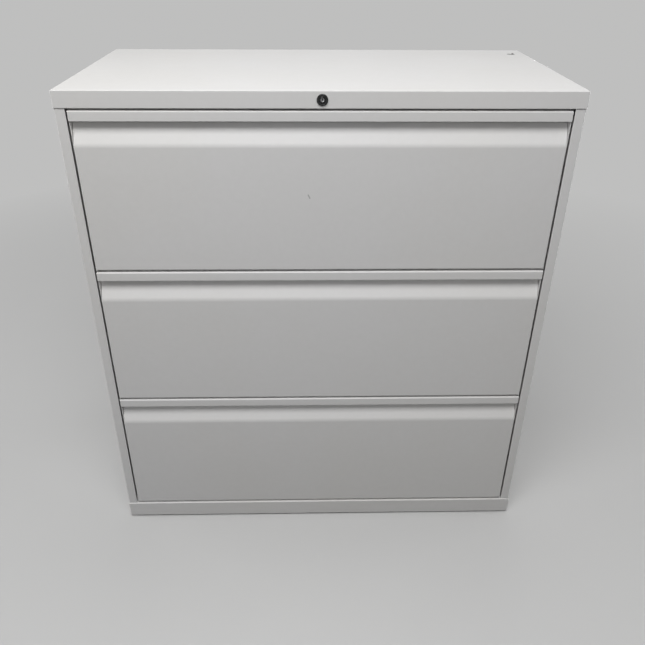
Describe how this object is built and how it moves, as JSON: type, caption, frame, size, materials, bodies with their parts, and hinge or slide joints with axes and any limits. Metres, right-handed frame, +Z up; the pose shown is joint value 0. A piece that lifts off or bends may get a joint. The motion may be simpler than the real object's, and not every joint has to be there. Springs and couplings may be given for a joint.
{
  "type": "lateral filing cabinet",
  "caption": "Steel lateral filing cabinet: drawers on telescopic slides with full-width recessed pulls, hanging frames, a central lock and levelling feet.",
  "frame": {"origin": "on the floor, under the middle of the overall box", "axes": "+Z up, the drawers face -Y, +X to the right seen from the front"},
  "size_m": [0.914, 0.4592, 0.994],
  "materials": {
    "case_paint": "semi-matt white powder coat",
    "drawer_paint": "semi-matt white powder coat",
    "zinc_plate": "zinc-plated steel",
    "slide_steel": "bright zinc-plated steel with a thin film of grease",
    "lock_black": "black coated die casting",
    "lock_steel": "darkened steel",
    "foot_nylon": "black nylon",
    "counterweight_iron": "black painted steel slab"
  },
  "bodies": {
    "case": {"top_panel": "case_paint", "base_pan": "case_paint", "back_panel": "case_paint", "left_side_panel": "case_paint", "right_side_panel": "case_paint", "top_front_rail": "zinc_plate", "counterweight": "counterweight_iron", "front_left_upright": "zinc_plate", "front_right_upright": "zinc_plate", "rear_left_upright": "zinc_plate", "rear_right_upright": "zinc_plate", "left_base_rail": "zinc_plate", "right_base_rail": "zinc_plate", "lock_housing": "lock_black", "lock_nut": "zinc_plate", "bellcrank_bracket": "zinc_plate", "lower_lock_bar_guide": "zinc_plate", "upper_lock_bar_guide": "zinc_plate", "bottom_left_slide_cabinet_member": "slide_steel", "bottom_right_slide_cabinet_member": "slide_steel", "middle_left_slide_cabinet_member": "slide_steel", "middle_right_slide_cabinet_member": "slide_steel", "top_left_slide_cabinet_member": "slide_steel", "top_right_slide_cabinet_member": "slide_steel"},
    "bottom_drawer": {"bottom_drawer_front": "drawer_paint", "bottom_drawer_liner": "drawer_paint", "bottom_drawer_tray": "drawer_paint", "bottom_hanging_frame": "zinc_plate", "bottom_lock_catch": "zinc_plate", "bottom_left_slide_drawer_member": "slide_steel", "bottom_right_slide_drawer_member": "slide_steel"},
    "bottom_slide_middle": {"bottom_left_slide_middle_member": "slide_steel", "bottom_right_slide_middle_member": "slide_steel"},
    "middle_drawer": {"middle_drawer_front": "drawer_paint", "middle_drawer_liner": "drawer_paint", "middle_drawer_tray": "drawer_paint", "middle_hanging_frame": "zinc_plate", "middle_lock_catch": "zinc_plate", "middle_left_slide_drawer_member": "slide_steel", "middle_right_slide_drawer_member": "slide_steel"},
    "middle_slide_middle": {"middle_left_slide_middle_member": "slide_steel", "middle_right_slide_middle_member": "slide_steel"},
    "top_drawer": {"top_drawer_front": "drawer_paint", "top_drawer_liner": "drawer_paint", "top_drawer_tray": "drawer_paint", "top_hanging_frame": "zinc_plate", "top_lock_catch": "zinc_plate", "top_left_slide_drawer_member": "slide_steel", "top_right_slide_drawer_member": "slide_steel"},
    "top_slide_middle": {"top_left_slide_middle_member": "slide_steel", "top_right_slide_middle_member": "slide_steel"},
    "lock_plug": {"lock_plug": "lock_steel", "lock_cam": "zinc_plate"},
    "lock_link": {"lock_link": "zinc_plate"},
    "bellcrank": {"lock_bellcrank": "zinc_plate"},
    "lock_bar": {"lock_bar": "zinc_plate"},
    "front_left_foot": {"front_left_levelling_foot": "foot_nylon"},
    "front_right_foot": {"front_right_levelling_foot": "foot_nylon"},
    "rear_left_foot": {"rear_left_levelling_foot": "foot_nylon"},
    "rear_right_foot": {"rear_right_levelling_foot": "foot_nylon"}
  },
  "joints": [
    {"name": "bottom_drawer_slide", "type": "slide", "parent": "case", "child": "bottom_drawer", "axis": [0, -1, 0], "range_m": [0, 0.4]},
    {"name": "bottom_middle_slide", "type": "slide", "parent": "case", "child": "bottom_slide_middle", "axis": [0, -1, 0], "range_m": [0, 0.2]},
    {"name": "middle_drawer_slide", "type": "slide", "parent": "case", "child": "middle_drawer", "axis": [0, -1, 0], "range_m": [0, 0.4]},
    {"name": "middle_middle_slide", "type": "slide", "parent": "case", "child": "middle_slide_middle", "axis": [0, -1, 0], "range_m": [0, 0.2]},
    {"name": "top_drawer_slide", "type": "slide", "parent": "case", "child": "top_drawer", "axis": [0, -1, 0], "range_m": [0, 0.4]},
    {"name": "top_middle_slide", "type": "slide", "parent": "case", "child": "top_slide_middle", "axis": [0, -1, 0], "range_m": [0, 0.2]},
    {"name": "lock_turn", "type": "hinge", "parent": "case", "child": "lock_plug", "pos_m": [0, -0.2274, 0.979], "axis": [0, 1, 0], "range_deg": [0, 90]},
    {"name": "link_slide", "type": "slide", "parent": "case", "child": "lock_link", "axis": [-1, 0, 0], "range_m": [0, 0.01131]},
    {"name": "bellcrank_turn", "type": "hinge", "parent": "case", "child": "bellcrank", "pos_m": [0.42975, -0.1923, 0.9475], "axis": [0, -1, 0], "range_deg": [0, 26.16]},
    {"name": "lock_bar_lift", "type": "slide", "parent": "case", "child": "lock_bar", "axis": [0, 0, 1], "range_m": [0, 0.008]},
    {"name": "front_left_foot_screw", "type": "slide", "parent": "case", "child": "front_left_foot", "axis": [0, 0, -1], "range_m": [-0.003, 0.012]},
    {"name": "front_right_foot_screw", "type": "slide", "parent": "case", "child": "front_right_foot", "axis": [0, 0, -1], "range_m": [-0.003, 0.012]},
    {"name": "rear_left_foot_screw", "type": "slide", "parent": "case", "child": "rear_left_foot", "axis": [0, 0, -1], "range_m": [-0.003, 0.012]},
    {"name": "rear_right_foot_screw", "type": "slide", "parent": "case", "child": "rear_right_foot", "axis": [0, 0, -1], "range_m": [-0.003, 0.012]}
  ],
  "couplings": [
    {"joint": "bottom_middle_slide", "follows": "bottom_drawer_slide", "ratio": 0.5},
    {"joint": "middle_middle_slide", "follows": "middle_drawer_slide", "ratio": 0.5},
    {"joint": "top_middle_slide", "follows": "top_drawer_slide", "ratio": 0.5},
    {"joint": "link_slide", "follows": "lock_bar_lift", "ratio": 1.4142},
    {"joint": "bellcrank_turn", "follows": "lock_bar_lift", "rad_per_m": 57.063},
    {"joint": "lock_turn", "follows": "lock_bar_lift", "rad_per_m": 196.35}
  ]
}
